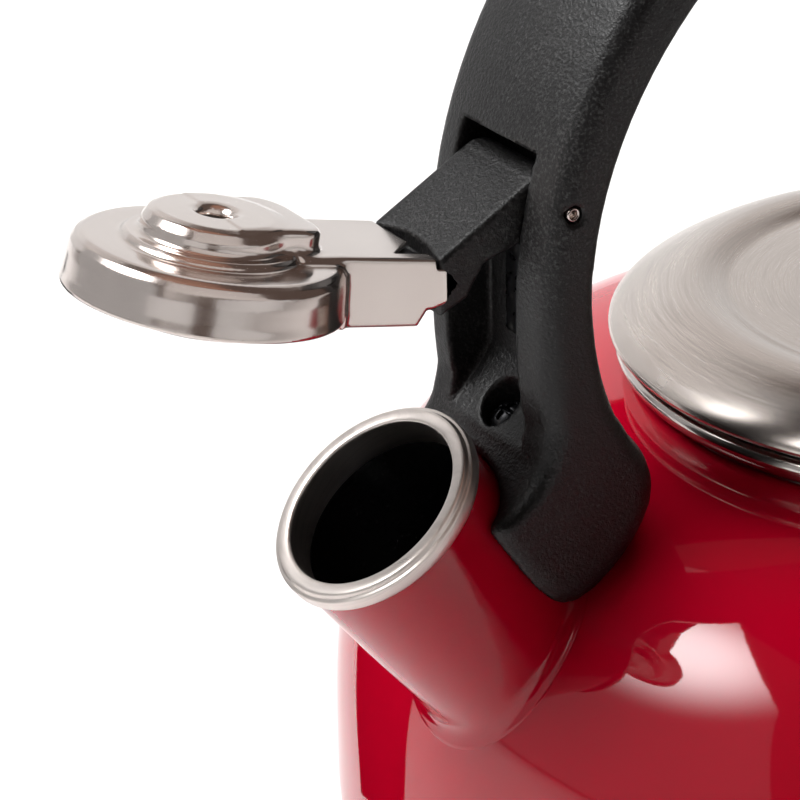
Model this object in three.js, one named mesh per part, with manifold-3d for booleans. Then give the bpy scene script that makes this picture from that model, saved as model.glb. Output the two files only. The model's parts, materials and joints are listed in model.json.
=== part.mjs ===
// Stovetop whistling kettle: enamelled steel body, short round spout, flip-up whistle cap on a
// lever that is pinned in a slotted arched handle, and a brushed steel lift-off lid.
// Millimetres, +Z up. The origin is the centre of the base's underside, the spout points along -X,
// and the XZ plane is the plane of symmetry.
import * as THREE from 'three';
import { mergeVertices } from 'three/addons/utils/BufferGeometryUtils.js';
import Module from 'manifold-3d';

const wasm = await Module();
wasm.setup();

// ---------------------------------------------------------------- driving dimensions
const GAP = 0.3; // clearance between touching pieces
const DEG = Math.PI / 180;

const BODY = { radius: 111, beltZ: 50, rise: 79, squareness: 3.28, wall: 1.2 };
const BELLY = { drop: 67, squareness: 2.2, footRadius: 84 };
const BODY_SEGMENTS = 48;
const CURVE_STEPS = { belly: 5, shoulder: 20, outer: 12, innerBelly: 4, inner: 9, grip: 14, outline: 10 };
const MOUTH_RADIUS = 56.2;
const PAN = { radius: 82.2, floor: 1.6, rimWall: 1.2, rimHeight: 8, edge: 1.4, segments: 40 };

const SPOUT = { mouthX: -120.8, mouthZ: 133.1, pitch: 52, radius: 17.5, wall: 1.3, lip: 1.4, reach: 60 };
const SPOUT_HOLE = { near: 25, far: 66 };
const RING = { bore: 15.2, frontRadius: 17.6, bandRadius: 18.5, bandDepth: 2.9, sleeve: 6, skin: 0.6 };

const COLLAR = { outer: 60.3, bore: 54.5, skin: 0.9, top: 131.6, skirtZ: 121, shoulderZ: 127.9 };
const LID = { radius: 61.3, rimZ: 134, lipRadius: 46, lipZ: 142.3, dishRadius: 39, dishZ: 139.6, skin: 0.8 };
const PLUG = { outer: 53.9, skin: 0.9, bottomZ: 122.5, flange: 58 };
const KNOB = { foot: 9, waist: 7, radius: 17, footZ: 141.2, height: 27, bore: 2.3, boreDepth: 14 };
const KNOB_SCREW = {
  hole: 2.4, shank: 2, shankLength: 13, point: 0.6, head: 4.4, headEdge: 3.6, headHeight: 2.4,
};

const HANDLE = { width: 36, springZ: 165, outerX: 98.4, outerRise: 87, innerX: 89.2, innerRise: 73, edge: 1 };
const FOOT = { waistX: 84.6, waistZ: 144.6, heelX: 74, heelZ: 124, rearToeX: 103, rearToeZ: 106 };
const FRONT_TOE = { tipX: -108.6, tipZ: 131.4, heelZ: 116, lowX: -92, lowZ: 111, neckX: -97.2, neckZ: 142 };
const GRIP = { from: 28, to: 152, wall: 3.2, cavityWidth: 29, cover: 2.6 };
const GRIP_ROOF = { innerX: 70, innerRise: 54 };
const GRIP_SCREW = { angles: [48, 90, 132], head: 2.6, headHeight: 1.2, shank: 1.3, length: 6.2, seat: 1.1 };
const GRIP_BOSS = { radius: 3.4, top: 11.5, bore: 8.5, recess: 3.1, recessTop: 1.4, trim: 1.6 };
const SLOT = { width: 20.4, topZ: 189, ledgeX: -99.2, ledgeZ: 140, ledgeDrop: 12, backX: -91, mouthX: -125 };
const SPRING = { backX: -91.4, thickness: 0.5, low: 154, high: 170, width: 9 };

const PIVOT = { x: -93.8, z: 181.0, pin: 1.2, halfLength: 17.4, hub: 4.4 };
const CAP = { x: -148.3, z: 174.8, tilt: 12.7, radius: 21.4, height: 8, skin: 0.8 };
const ARM = { halfWidth: 9.75, top: 9, bottom: -2.3 };
const TONGUE_HALF_WIDTH = 8.6;
const CAP_NECK = {
  lower: 13.6, lowerTop: 10.6, upper: 10, upperTop: 12.8, crown: 13.2, shoulder: 9, step: 11.4,
};
const CUP = { radius: 13, flange: 19, bottomZ: -3.4, flangeZ: 2, skin: 0.7 };
const PLATE = { radius: 11.4, low: 5.2, high: 5.9 };
const WHISTLE_HOLE = { cap: 2.6, cup: 2.2, plate: 2 };
const FOOT_SCREW = { x: 95, z: 142.5, lean: 24, head: 3.6, headHeight: 2.6, sunk: 3, shank: 2, length: 20 };
const FOOT_WELL = { clearance: 0.6, top: 26, bore: 24, bracketBore: 30 };
const BRACKET = { length: 13, width: 14, height: 14, x: 84.5, z: 119 };

// ---------------------------------------------------------------- solid helpers
function solid(geometry) {
  const bare = geometry.clone();
  bare.deleteAttribute('normal');
  bare.deleteAttribute('uv');
  const merged = mergeVertices(bare, 1e-4);
  const position = merged.attributes.position;
  const index = merged.index.array;
  const triangles = [];
  let volume = 0;
  const a = new THREE.Vector3();
  const b = new THREE.Vector3();
  const c = new THREE.Vector3();
  for (let i = 0; i < index.length; i += 3) {
    const [p, q, r] = [index[i], index[i + 1], index[i + 2]];
    if (p === q || q === r || r === p) continue;
    triangles.push(p, q, r);
    a.fromBufferAttribute(position, p);
    b.fromBufferAttribute(position, q);
    c.fromBufferAttribute(position, r);
    volume += a.dot(b.cross(c));
  }
  if (volume < 0) triangles.reverse();
  return new wasm.Manifold(new wasm.Mesh({
    numProp: 3,
    vertProperties: new Float32Array(position.array),
    triVerts: new Uint32Array(triangles),
  }));
}

function piece(name, body, material) {
  const result = body.getMesh();
  const geometry = new THREE.BufferGeometry();
  geometry.setAttribute('position', new THREE.BufferAttribute(new Float32Array(result.vertProperties), 3));
  geometry.setIndex(new THREE.BufferAttribute(new Uint32Array(result.triVerts), 1));
  geometry.computeVertexNormals();
  const mesh = new THREE.Mesh(geometry, material);
  mesh.name = name;
  return mesh;
}

// A profile of [radius, height] points turned about the Z axis.
function turned(profile, segments) {
  const points = profile.map(([radius, height]) => new THREE.Vector2(radius, height));
  return new THREE.LatheGeometry(points, segments).rotateX(Math.PI / 2);
}

function closedProfile(profile) {
  return [...profile, profile[0]];
}

// A cylinder about the Z axis between two heights.
function rod(radius, low, high, segments) {
  const height = high - low;
  return new THREE.CylinderGeometry(radius, radius, height, segments)
    .rotateX(Math.PI / 2)
    .translate(0, 0, low + height / 2);
}

// An outline in the XZ plane given thickness along Y, centred on the plane of symmetry.
function plate(outline, width, edge = 0, curveSegments = 12) {
  const depth = width - 2 * edge;
  const points = outline.getPoints(curveSegments);
  const distinct = points.filter((point, i) => point.distanceTo(points.at(i - 1)) > 0.01);
  return new THREE.ExtrudeGeometry(new THREE.Shape(distinct), {
    depth,
    bevelEnabled: edge > 0,
    bevelThickness: edge,
    bevelSize: edge,
    bevelOffset: -edge,
    bevelSegments: 2,
  }).rotateX(Math.PI / 2).translate(0, depth / 2, 0);
}

function polygon(points) {
  return new THREE.Shape(points.map(([x, z]) => new THREE.Vector2(x, z)));
}

function block(sizeX, sizeY, sizeZ, x, y, z) {
  return new THREE.BoxGeometry(sizeX, sizeY, sizeZ).translate(x, y, z);
}

function material(color, roughness, metalness) {
  return new THREE.MeshStandardMaterial({ color, roughness, metalness });
}

const redEnamel = () => material(0xb3001f, 0.12, 0.0);
const satinSteel = () => material(0xb9b4ad, 0.32, 1.0);
const polishedSteel = () => material(0xc9c4be, 0.14, 1.0);
const blackNylon = () => material(0x2b2a2b, 0.55, 0.0);
const blackSteel = () => material(0x19191b, 0.4, 0.8);

// ---------------------------------------------------------------- body
// Upper half of the body as a superellipse, from the belt up to a given radius.
function shoulderProfile(offset, endRadius, steps) {
  const radius = BODY.radius + offset;
  const rise = BODY.rise + offset;
  const power = 2 / BODY.squareness;
  const last = Math.acos(Math.pow(endRadius / radius, 1 / power));
  return Array.from({ length: steps + 1 }, (_, i) => {
    const t = (last * i) / steps;
    return [radius * Math.cos(t) ** power, BODY.beltZ + rise * Math.sin(t) ** power];
  });
}

// Lower half of the body, from the foot up to just under the belt.
function bellyProfile(offset, steps) {
  const radius = BODY.radius + offset;
  const drop = BELLY.drop + offset;
  const power = 2 / BELLY.squareness;
  const first = Math.acos(Math.pow((BELLY.footRadius + offset) / radius, 1 / power));
  return Array.from({ length: steps }, (_, i) => {
    const t = first * (1 - i / steps);
    return [radius * Math.cos(t) ** power, BODY.beltZ - drop * Math.sin(t) ** power];
  });
}

// The whole body as one filled form, used to shape what sits on it.
function bodyBlank(offset) {
  const profile = [
    ...bellyProfile(offset, CURVE_STEPS.belly),
    ...shoulderProfile(offset, GAP / 30, CURVE_STEPS.shoulder),
  ];
  const foot = profile[0][1];
  const crown = profile[profile.length - 1][1];
  return solid(turned([[0, foot], ...profile.slice(0, -1), [0, crown]], BODY_SEGMENTS));
}

function spoutPlacement() {
  const lean = (SPOUT.pitch - 90) * DEG;
  return new THREE.Matrix4().makeRotationY(lean).setPosition(SPOUT.mouthX, 0, SPOUT.mouthZ);
}

// A round bar along the spout's axis; distances run from the mouth towards the body.
function spoutBar(radius, near, far, segments = 32) {
  return solid(rod(radius, -far, -near, segments).applyMatrix4(spoutPlacement()));
}

function bodyShell() {
  const { belly, outer: outerSteps, innerBelly, inner: innerSteps } = CURVE_STEPS;
  const outer = [...bellyProfile(0, belly), ...shoulderProfile(0, MOUTH_RADIUS, outerSteps)];
  const inner = [
    ...bellyProfile(-BODY.wall, innerBelly),
    ...shoulderProfile(-BODY.wall, MOUTH_RADIUS, innerSteps),
  ];
  const shell = solid(turned(closedProfile([...outer, ...inner.reverse()]), BODY_SEGMENTS));
  const hole = spoutBar(SPOUT.radius - SPOUT.wall, SPOUT_HOLE.near, SPOUT_HOLE.far);
  return piece('body_shell', shell.subtract(hole), redEnamel());
}

function basePan() {
  const inside = PAN.radius - PAN.rimWall;
  const profile = [
    [0, 0], [PAN.radius - PAN.edge, 0], [PAN.radius, PAN.edge], [PAN.radius, PAN.rimHeight],
    [inside, PAN.rimHeight], [inside, PAN.floor + PAN.edge], [inside - PAN.edge, PAN.floor], [0, PAN.floor],
  ];
  return piece('base_pan', solid(turned(profile, PAN.segments)), satinSteel());
}

function spoutTube(blank) {
  const outside = spoutBar(SPOUT.radius, SPOUT.lip, SPOUT.reach);
  const tube = outside.subtract(spoutBar(SPOUT.radius - SPOUT.wall, 0, SPOUT.reach + SPOUT.lip));
  return piece('spout_tube', tube.subtract(blank), redEnamel());
}

// Rolled rim: a channel that folds over the open end of the spout tube.
function spoutRing() {
  const { bore, frontRadius, bandRadius, bandDepth, sleeve, skin } = RING;
  const profile = [
    [bore, -sleeve], [bore, -1.2], [bore + 0.6, -0.3], [bore + 1.4, 0], [frontRadius, -0.2],
    [bandRadius - 0.2, -0.9], [bandRadius, -bandDepth], [bandRadius - skin, -bandDepth],
    [bandRadius - skin - 0.1, -1.1], [bore + skin + 0.1, -1.1], [bore + skin + 0.1, -sleeve],
  ];
  const mesh = piece('spout_rim_ring', solid(turned(closedProfile(profile), 32)), satinSteel());
  mesh.applyMatrix4(spoutPlacement());
  return mesh;
}

function collarRing() {
  const { outer, bore, skin, top, skirtZ, shoulderZ } = COLLAR;
  const profile = [
    [bore, skirtZ], [bore, top - 1.2], [bore + 1.4, top], [outer - 2, top], [outer - 0.4, top - 1.2],
    [outer, top - 2.8], [outer - 0.6, shoulderZ - 1.5], [MOUTH_RADIUS, shoulderZ], [bore + skin, shoulderZ],
    [bore + skin, skirtZ],
  ];
  return piece('mouth_collar_ring', solid(turned(closedProfile(profile), 40)), satinSteel());
}

// ---------------------------------------------------------------- lid
function lidShell() {
  const { radius, rimZ, lipRadius, lipZ, dishRadius, dishZ, skin } = LID;
  const profile = [
    [KNOB_SCREW.hole, dishZ], [dishRadius, dishZ], [dishRadius + 3.5, dishZ + 1.2], [lipRadius, lipZ],
    [lipRadius + 6, lipZ - 1.7], [radius - 3.6, rimZ + 3.2], [radius - 0.7, rimZ + 1.2], [radius, rimZ],
    [radius - 0.3, rimZ - 0.9], [radius - 1.3, rimZ - 0.9], [radius - 1.6, rimZ + 0.6],
    [radius - 4.2, rimZ + 2.4], [lipRadius + 5.8, lipZ - 2.6], [lipRadius, lipZ - skin],
    [dishRadius + 3.7, dishZ + 0.3], [dishRadius + 0.4, dishZ - skin], [KNOB_SCREW.hole, dishZ - skin],
  ];
  return piece('lid_shell', solid(turned(closedProfile(profile), 40)), satinSteel());
}

// Inner ring of the lid: it stands in the mouth, and its flange rests on the collar.
function lidPlug() {
  const { outer, skin, bottomZ, flange } = PLUG;
  const flangeZ = COLLAR.top + GAP;
  const profile = [
    [outer - skin, bottomZ], [outer, bottomZ], [outer, flangeZ], [flange, flangeZ], [flange, flangeZ + skin],
    [outer + 0.6, flangeZ + skin], [outer - 0.4, flangeZ + 4.4], [outer - skin - 0.6, flangeZ + 4.4],
    [outer - skin, flangeZ],
  ];
  return piece('lid_plug_ring', solid(turned(closedProfile(profile), 40)), satinSteel());
}

function lidKnob() {
  const { foot, waist, radius, footZ, height, bore, boreDepth } = KNOB;
  const base = footZ + GAP;
  const profile = [
    [bore, base], [foot, base], [foot - 0.6, base + 2], [waist, base + 7], [waist + 2, base + 11],
    [radius - 2, base + 15], [radius, base + 18.5], [radius - 1.6, base + 22], [radius - 6, base + 25],
    [0, base + height], [0, base + boreDepth], [bore, base + boreDepth],
  ];
  return piece('lid_knob', solid(turned(closedProfile(profile), 24)), blackNylon());
}

function knobFerrule() {
  const low = LID.dishZ + GAP;
  const { hole } = KNOB_SCREW;
  const profile = [[hole, low], [KNOB.foot + 2, low], [KNOB.foot + 1.4, KNOB.footZ], [hole, KNOB.footZ]];
  return piece('knob_ferrule', solid(turned(closedProfile(profile), 24)), satinSteel());
}

function knobScrew() {
  const { shank, shankLength, point, head, headEdge, headHeight } = KNOB_SCREW;
  const headTop = LID.dishZ - LID.skin - GAP;
  const profile = [
    [0, headTop - headHeight], [headEdge, headTop - headHeight], [head, headTop - headHeight / 2],
    [head, headTop], [shank, headTop], [shank, headTop + shankLength], [0, headTop + shankLength + point],
  ];
  return piece('knob_screw', solid(turned(profile, 12)), satinSteel());
}

// ---------------------------------------------------------------- handle
// The arch and both feet in side view, traced clockwise from the front of the left leg.
function handleOutline() {
  const { springZ, outerX, outerRise, innerX, innerRise } = HANDLE;
  const shape = new THREE.Shape();
  shape.moveTo(-outerX, springZ);
  shape.absellipse(0, springZ, outerX, outerRise, Math.PI, 0, true);
  shape.quadraticCurveTo(96.8, 140, 101.5, 121);
  shape.lineTo(FOOT.rearToeX, FOOT.rearToeZ);
  shape.lineTo(FOOT.heelX - 1, FOOT.rearToeZ);
  shape.lineTo(FOOT.heelX, FOOT.heelZ);
  shape.quadraticCurveTo(77, 136, FOOT.waistX, FOOT.waistZ);
  shape.quadraticCurveTo(88.5, 153, innerX, springZ);
  shape.absellipse(0, springZ, innerX, innerRise, 0, Math.PI, false);
  shape.quadraticCurveTo(-88.5, 153, -FOOT.waistX, FOOT.waistZ);
  shape.quadraticCurveTo(-77, 136, -FOOT.heelX, FOOT.heelZ);
  shape.lineTo(-FOOT.heelX, FRONT_TOE.heelZ);
  shape.lineTo(FRONT_TOE.lowX, FRONT_TOE.lowZ);
  shape.quadraticCurveTo(-95, 112.5, -97.5, 117);
  shape.lineTo(FRONT_TOE.tipX, FRONT_TOE.tipZ);
  shape.quadraticCurveTo(-98, 136, FRONT_TOE.neckX, FRONT_TOE.neckZ);
  shape.quadraticCurveTo(-98.4, 152, -outerX, springZ);
  return shape;
}

// Opening in the front leg: the lever swings in it, and its floor is a sloping ledge.
function slotOutline() {
  return polygon([
    [SLOT.mouthX, SLOT.topZ + 1], [-96, SLOT.topZ], [-88.7, SLOT.topZ - 1], [-88.9, 178], [SLOT.backX, 172],
    [SLOT.backX, 150], [SLOT.ledgeX, SLOT.ledgeZ], [SLOT.mouthX, SLOT.ledgeZ - SLOT.ledgeDrop],
  ]);
}

// A strip that follows the arch between two ellipses, over the length of the grip.
function gripStrip(innerX, innerRise, outerX, outerRise, trim) {
  const from = (GRIP.from + trim) * DEG;
  const to = (GRIP.to - trim) * DEG;
  const steps = CURVE_STEPS.grip;
  const arc = (reachX, reachZ, start, end) => Array.from({ length: steps + 1 }, (_, i) => {
    const t = start + ((end - start) * i) / steps;
    return [reachX * Math.cos(t), HANDLE.springZ + reachZ * Math.sin(t)];
  });
  return polygon([...arc(outerX, outerRise, from, to), ...arc(innerX, innerRise, to, from)]);
}

// Places a fastener on the inner face of the arch, pointing out along the normal there.
function gripPlacement(angle) {
  const t = angle * DEG;
  const normal = new THREE.Vector3(Math.cos(t) / HANDLE.innerX, 0, Math.sin(t) / HANDLE.innerRise).normalize();
  const lean = Math.atan2(normal.x, normal.z);
  const foot = [HANDLE.innerX * Math.cos(t), 0, HANDLE.springZ + HANDLE.innerRise * Math.sin(t)];
  return new THREE.Matrix4().makeRotationY(lean).setPosition(...foot);
}

// Places a fastener in a foot: its head sits at the origin and its shank points down and inwards.
function footPlacement(side) {
  const lean = side * FOOT_SCREW.lean * DEG;
  return new THREE.Matrix4().makeRotationY(lean).setPosition(side * FOOT_SCREW.x, 0, FOOT_SCREW.z);
}

function placedRod(radius, low, high, matrix, segments = 14) {
  return solid(rod(radius, low, high, segments).applyMatrix4(matrix));
}

function pinBore(radius, length) {
  return solid(rod(radius, -length / 2, length / 2, 16).rotateX(Math.PI / 2).translate(PIVOT.x, 0, PIVOT.z));
}

function bracketForm(side, offset) {
  const { length, width, height, x, z } = BRACKET;
  return solid(block(length + 2 * offset, width + 2 * offset, height + 2 * offset, side * x, 0, z));
}

function handleShell(blank) {
  let shell = solid(plate(handleOutline(), HANDLE.width, HANDLE.edge, CURVE_STEPS.outline));
  shell = shell.subtract(blank).subtract(spoutBar(SPOUT.radius + GAP, -RING.sleeve, SPOUT.reach));
  shell = shell.subtract(solid(plate(slotOutline(), SLOT.width)));
  shell = shell.subtract(pinBore(PIVOT.pin + GAP, 2 * HANDLE.width));
  const roofX = HANDLE.outerX - GRIP.wall;
  const roofRise = HANDLE.outerRise - GRIP.wall;
  const hollow = gripStrip(GRIP_ROOF.innerX, GRIP_ROOF.innerRise, roofX, roofRise, 0);
  const cavity = solid(plate(hollow, GRIP.cavityWidth));
  shell = shell.subtract(cavity);
  for (const angle of GRIP_SCREW.angles) {
    const matrix = gripPlacement(angle);
    const boss = placedRod(GRIP_BOSS.radius, GRIP.cover + GAP, GRIP_BOSS.top, matrix);
    shell = shell.add(boss).subtract(placedRod(GRIP_SCREW.shank + GAP, 0, GRIP_BOSS.bore, matrix));
  }
  for (const side of [-1, 1]) {
    const matrix = footPlacement(side);
    shell = shell.subtract(bracketForm(side, GAP));
    const wellRadius = FOOT_SCREW.head + FOOT_WELL.clearance;
    shell = shell.subtract(placedRod(wellRadius, -FOOT_SCREW.sunk, FOOT_WELL.top, matrix));
    shell = shell.subtract(placedRod(FOOT_SCREW.shank + GAP, -FOOT_WELL.bore, 0, matrix));
  }
  return piece('handle_shell', shell, blackNylon());
}

function handleCover() {
  const { innerX, innerRise } = HANDLE;
  const outline = gripStrip(innerX, innerRise, innerX + GRIP.cover, innerRise + GRIP.cover, GRIP_BOSS.trim);
  let cover = solid(plate(outline, GRIP.cavityWidth - 2 * GAP));
  for (const angle of GRIP_SCREW.angles) {
    const matrix = gripPlacement(angle);
    const recess = placedRod(GRIP_BOSS.recess, -GRIP.cover, GRIP_BOSS.recessTop, matrix);
    const bore = placedRod(GRIP_SCREW.shank + GAP, -GRIP.cover, 2 * GRIP.cover, matrix);
    cover = cover.subtract(recess).subtract(bore);
  }
  return piece('handle_inner_cover', cover, blackNylon());
}

function screwBody(headRadius, headHeight, shankRadius, length) {
  const profile = [
    [0, headHeight], [headRadius * 0.6, headHeight], [headRadius, headHeight * 0.45], [headRadius, 0],
    [shankRadius, 0], [shankRadius, -length + 1], [0, -length],
  ];
  return solid(turned(profile, 12));
}

// Screws through the inner cover; their heads face the hand, so the shank points outwards.
function gripScrews() {
  const { angles, head, headHeight, shank, length, seat } = GRIP_SCREW;
  return angles.map((angle, i) => {
    const mesh = piece(`grip_screw_${i + 1}`, screwBody(head, headHeight, shank, length), blackSteel());
    mesh.applyMatrix4(gripPlacement(angle));
    mesh.rotateX(Math.PI);
    mesh.translateZ(-seat);
    return mesh;
  });
}

function footScrew(name, side) {
  const { head, headHeight, shank, length, sunk } = FOOT_SCREW;
  const mesh = piece(name, screwBody(head, headHeight, shank, length), blackSteel());
  mesh.applyMatrix4(footPlacement(side));
  mesh.translateZ(GAP - sunk);
  return mesh;
}

// Steel tab welded to the shoulder: the foot sits over it and its screw runs into it.
function footBracket(name, side, blank) {
  const bore = placedRod(FOOT_SCREW.shank + GAP, -FOOT_WELL.bracketBore, 0, footPlacement(side));
  const tab = bracketForm(side, 0).subtract(blank).subtract(spoutBar(SPOUT.radius + GAP, 0, SPOUT.reach));
  return piece(name, tab.subtract(bore), satinSteel());
}

function pivotPin() {
  const body = solid(rod(PIVOT.pin, -PIVOT.halfLength, PIVOT.halfLength, 12));
  const mesh = piece('pivot_pin', body, polishedSteel());
  mesh.position.set(PIVOT.x, 0, PIVOT.z);
  mesh.rotation.x = Math.PI / 2;
  return mesh;
}

// ---------------------------------------------------------------- whistle cap
// The pressing as a filled form, in the cap's own frame: +Z is the cap's normal at the centre of
// its rim, and +X points along the arm to the pivot. An inset moves every wall inwards.
function capForm(inset, floor) {
  const neck = CAP_NECK;
  const skirt = CAP.radius - inset;
  const disc = [
    [0, floor], [skirt, floor], [skirt, 0], [skirt - 0.6, 1.6], [skirt - 0.9, 4.8], [skirt - 1.8, 6.9 - inset],
    [skirt - 3.8, CAP.height - inset], [0, CAP.height - inset],
  ];
  const lower = [
    [0, 2], [neck.lower - inset, 2], [neck.lower - inset, neck.shoulder - inset],
    [neck.lower - 1.2 - inset, neck.lowerTop - inset], [0, neck.lowerTop - inset],
  ];
  const upper = [
    [0, 2], [neck.upper - inset, 2], [neck.upper - inset, neck.step - inset],
    [neck.upper - 1.6 - inset, neck.upperTop - inset], [0, neck.crown - inset],
  ];
  const arm = polygon([
    [12, floor], [12, ARM.top - inset], [34.4, 8.5 - inset], [37.6, 7.8 - inset], [39.8, 4.7], [37.8, 1],
    [35.3, 0.3], [33.4, ARM.bottom], [33.4 - inset, floor],
  ]);
  const armWidth = 2 * (ARM.halfWidth - inset);
  return solid(turned(disc, 36))
    .add(solid(turned(lower, 24)))
    .add(solid(turned(upper, 24)))
    .add(solid(block(17.5, armWidth - 0.6, 8.2, 8.75 - inset, 0, 6.5 - inset)))
    .add(solid(block(14.5, armWidth - 3.6, 10.6, 7.25 - inset, 0, 7.5 - inset)))
    .add(solid(plate(arm, armWidth)));
}

function armBelowRim(inset, floor) {
  const halfWidth = ARM.halfWidth - inset;
  return solid(block(18.4, 2 * halfWidth, -floor, 26.2, 0, floor / 2));
}

function whistleCap() {
  const hollow = capForm(CAP.skin, -6).add(solid(block(12, 2 * (ARM.halfWidth - CAP.skin), 20, 40, 0, -2.2)));
  const shell = capForm(0, -0.001).add(solid(plate(polygon([
    [17, ARM.bottom], [17, 1], [34, 1], [33.4, ARM.bottom],
  ]), 2 * ARM.halfWidth)));
  const hole = solid(rod(WHISTLE_HOLE.cap, CAP.height, 2 * CAP.height, 16));
  return piece('whistle_cap', shell.subtract(hollow).subtract(hole), polishedSteel());
}

// Drawn cup closing the underside of the cap; its boss enters the mouth of the spout.
function whistleCup() {
  const { radius, flange, bottomZ, flangeZ, skin } = CUP;
  const profile = [
    [WHISTLE_HOLE.cup, bottomZ], [radius - 0.8, bottomZ], [radius, bottomZ + 0.8], [radius, flangeZ],
    [flange, flangeZ], [flange, flangeZ + skin], [radius - skin, flangeZ + skin], [radius - 0.8, bottomZ + 1],
    [radius - 1.2, bottomZ + skin], [WHISTLE_HOLE.cup, bottomZ + skin],
  ];
  return piece('whistle_cup', solid(turned(closedProfile(profile), 28)), satinSteel());
}

function whistlePlate() {
  const { radius, low, high } = PLATE;
  const profile = [
    [WHISTLE_HOLE.plate, low], [radius, low], [radius, high], [WHISTLE_HOLE.plate, high],
  ];
  return piece('whistle_plate', solid(turned(closedProfile(profile), 24)), satinSteel());
}

// Lever outline about the pivot: a round hub, a flat thumb face and the shoulder that meets the arm.
function leverOutline() {
  const shape = new THREE.Shape();
  const start = 128 * DEG;
  shape.moveTo(PIVOT.hub * Math.cos(start), PIVOT.hub * Math.sin(start));
  shape.absarc(0, 0, PIVOT.hub, start, -100 * DEG, true);
  shape.lineTo(-4.9, -6.3);
  shape.lineTo(-11, -8.1);
  shape.lineTo(-14.2, -13);
  shape.lineTo(-19, -15);
  shape.lineTo(-19, -5.6);
  return shape;
}

function capMatrixFromPivot() {
  return new THREE.Matrix4().makeRotationY(CAP.tilt * DEG).setPosition(CAP.x - PIVOT.x, 0, CAP.z - PIVOT.z);
}

function whistleLever() {
  const toCap = capMatrixFromPivot();
  const face = solid(plate(leverOutline(), 2 * ARM.halfWidth, 0, 10));
  const armBlank = capForm(-GAP, -0.001).add(armBelowRim(-GAP, -9)).transform(toCap.elements);
  const tongue = solid(plate(polygon([[24, -1], [24, 7.8], [35, 7.4], [39, 4.6], [37, 0.4], [33, -1]]),
    2 * TONGUE_HALF_WIDTH).applyMatrix4(toCap));
  const bore = solid(rod(PIVOT.pin + GAP, -12, 12, 16).rotateX(Math.PI / 2));
  return piece('whistle_lever', face.subtract(armBlank).add(tongue).subtract(bore), blackNylon());
}

// Flat spring behind the hub: it presses on the lever and holds it open or shut.
function detentSpring() {
  const { backX, thickness, low, high, width } = SPRING;
  const frontX = backX - thickness;
  const outline = polygon([[frontX, high], [backX, high], [backX, low], [frontX, low]]);
  return piece('lever_detent_spring', solid(plate(outline, width)), polishedSteel());
}

function whistle() {
  const group = new THREE.Group();
  group.position.set(PIVOT.x, 0, PIVOT.z);
  const cap = new THREE.Group();
  cap.applyMatrix4(capMatrixFromPivot());
  cap.add(whistleCap(), whistleCup(), whistlePlate());
  group.add(whistleLever(), cap);
  return group;
}

// ---------------------------------------------------------------- assembly
function body(blank) {
  const group = new THREE.Group();
  group.add(bodyShell(), basePan(), spoutTube(blank), spoutRing(), collarRing());
  return group;
}

function lid() {
  const group = new THREE.Group();
  group.add(lidShell(), lidPlug(), knobFerrule(), lidKnob(), knobScrew());
  return group;
}

function handle(blank) {
  const group = new THREE.Group();
  group.add(handleShell(blank), handleCover(), ...gripScrews(), pivotPin(), detentSpring());
  group.add(footBracket('front_foot_bracket', -1, blank), footBracket('rear_foot_bracket', 1, blank));
  group.add(footScrew('front_foot_screw', -1), footScrew('rear_foot_screw', 1));
  return group;
}

const blank = bodyBlank(GAP);
const kettle = new THREE.Group();
kettle.add(body(blank), lid(), handle(blank), whistle());
kettle.updateMatrixWorld(true);

export default kettle;
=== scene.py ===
import json
import math

import bpy
import numpy as np
from mathutils import Matrix, Vector


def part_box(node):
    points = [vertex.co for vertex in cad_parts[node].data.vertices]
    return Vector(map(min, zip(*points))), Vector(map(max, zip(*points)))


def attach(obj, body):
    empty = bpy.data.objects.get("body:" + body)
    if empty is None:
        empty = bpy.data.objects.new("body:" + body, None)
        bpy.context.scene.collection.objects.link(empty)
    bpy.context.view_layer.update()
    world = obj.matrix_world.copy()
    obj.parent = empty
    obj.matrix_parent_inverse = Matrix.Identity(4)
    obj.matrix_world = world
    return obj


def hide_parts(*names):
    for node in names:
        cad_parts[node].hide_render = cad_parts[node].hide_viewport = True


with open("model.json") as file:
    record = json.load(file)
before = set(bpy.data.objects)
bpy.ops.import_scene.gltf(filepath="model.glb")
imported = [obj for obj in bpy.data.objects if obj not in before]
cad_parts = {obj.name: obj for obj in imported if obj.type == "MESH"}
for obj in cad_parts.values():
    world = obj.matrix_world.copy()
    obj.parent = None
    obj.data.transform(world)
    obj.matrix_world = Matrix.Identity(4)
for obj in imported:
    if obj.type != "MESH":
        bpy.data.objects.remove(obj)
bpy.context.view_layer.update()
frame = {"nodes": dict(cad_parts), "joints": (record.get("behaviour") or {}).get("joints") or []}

MM = 0.001
DEG = math.pi / 180


# ---------------------------------------------------------------- where things are
def node_box(name):
    low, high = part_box(name)
    return np.array(low) / MM, np.array(high) / MM


BODY_HIGH = node_box("body_shell")[1]
RING_LOW, RING_HIGH = node_box("spout_rim_ring")
COLLAR_LOW, COLLAR_HIGH = node_box("mouth_collar_ring")
LID_HIGH = node_box("lid_shell")[1]
PLUG_BOTTOM = node_box("lid_plug_ring")[0][2]
KNOB_LOW, KNOB_HIGH = node_box("lid_knob")
PAN_HIGH = node_box("base_pan")[1]
PIN_HALF = node_box("pivot_pin")[1][1]
SPRING_LOW, SPRING_HIGH = node_box("lever_detent_spring")
HINGE = next(j for j in frame["joints"] if j["name"] == "whistle_hinge")
PIVOT = np.array(HINGE["pos_m"]) / MM

# Body: superellipse shoulder above the belt, rounder belly below it.
BODY_RADIUS = BODY_HIGH[0]
BELT_Z = 50.0
SHOULDER_RISE = 79.0
SHOULDER_POWER = 3.28
BELLY_DROP = 67.0
BELLY_POWER = 2.2
BODY_WALL = 1.2
FOOT_RADIUS = 84.0
MOUTH_RADIUS = 56.2

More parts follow.
